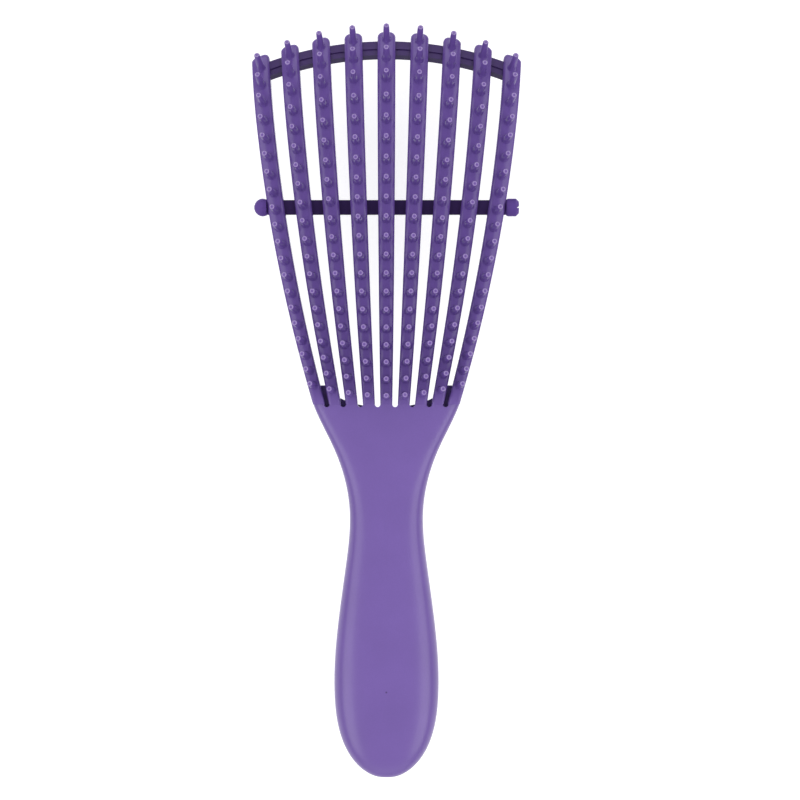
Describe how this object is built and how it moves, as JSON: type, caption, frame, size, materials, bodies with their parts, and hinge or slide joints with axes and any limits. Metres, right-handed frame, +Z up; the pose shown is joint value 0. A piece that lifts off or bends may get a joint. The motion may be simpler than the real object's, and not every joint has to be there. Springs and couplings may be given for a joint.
{
  "type": "detangling brush",
  "caption": "Detangling hair brush with a paddle handle and a fan of separate flexible pinned ribs, threaded on a curved tip bar and a straight cross rod.",
  "frame": {"origin": "on the surface that the brush lies on, under the middle of its outline", "axes": "+Y from the handle to the rib tips, +X across the ribs, +Z up, the way the pins point"},
  "size_m": [0.0856, 0.2366, 0.0254],
  "materials": {
    "handle_plastic": "satin purple",
    "rib_plastic": "satin purple",
    "bar_plastic": "satin dark purple",
    "rod_plastic": "satin dark purple"
  },
  "bodies": {
    "handle": {"handle": "handle_plastic"},
    "head_frame": {"rib_1": "rib_plastic", "rib_9": "rib_plastic", "tip_bar": "bar_plastic", "cross_rod": "rod_plastic"},
    "rib_2": {"rib_2": "rib_plastic"},
    "rib_3": {"rib_3": "rib_plastic"},
    "rib_4": {"rib_4": "rib_plastic"},
    "rib_5": {"rib_5": "rib_plastic"},
    "rib_6": {"rib_6": "rib_plastic"},
    "rib_7": {"rib_7": "rib_plastic"},
    "rib_8": {"rib_8": "rib_plastic"}
  },
  "joints": [
    {"name": "head_flex", "type": "hinge", "parent": "handle", "child": "head_frame", "pos_m": [0, -0.00098, 0.01775], "axis": [1, 0, 0], "range_deg": [-8, 8], "stiffness_Nm_per_rad": 25},
    {"name": "rib_2_sway", "type": "hinge", "parent": "head_frame", "child": "rib_2", "pos_m": [-0.01601, -0.00098, 0.018], "axis": [0, 0, 1], "range_deg": [-0.9, 0.9], "stiffness_Nm_per_rad": 1.7},
    {"name": "rib_3_sway", "type": "hinge", "parent": "head_frame", "child": "rib_3", "pos_m": [-0.0108, -0.00098, 0.018], "axis": [0, 0, 1], "range_deg": [-0.9, 0.9], "stiffness_Nm_per_rad": 1.7},
    {"name": "rib_4_sway", "type": "hinge", "parent": "head_frame", "child": "rib_4", "pos_m": [-0.00544, -0.00098, 0.018], "axis": [0, 0, 1], "range_deg": [-0.9, 0.9], "stiffness_Nm_per_rad": 1.7},
    {"name": "rib_5_sway", "type": "hinge", "parent": "head_frame", "child": "rib_5", "pos_m": [0, -0.00098, 0.018], "axis": [0, 0, 1], "range_deg": [-0.9, 0.9], "stiffness_Nm_per_rad": 1.7},
    {"name": "rib_6_sway", "type": "hinge", "parent": "head_frame", "child": "rib_6", "pos_m": [0.00544, -0.00098, 0.018], "axis": [0, 0, 1], "range_deg": [-0.9, 0.9], "stiffness_Nm_per_rad": 1.7},
    {"name": "rib_7_sway", "type": "hinge", "parent": "head_frame", "child": "rib_7", "pos_m": [0.0108, -0.00098, 0.018], "axis": [0, 0, 1], "range_deg": [-0.9, 0.9], "stiffness_Nm_per_rad": 1.7},
    {"name": "rib_8_sway", "type": "hinge", "parent": "head_frame", "child": "rib_8", "pos_m": [0.01601, -0.00098, 0.018], "axis": [0, 0, 1], "range_deg": [-0.9, 0.9], "stiffness_Nm_per_rad": 1.7}
  ]
}
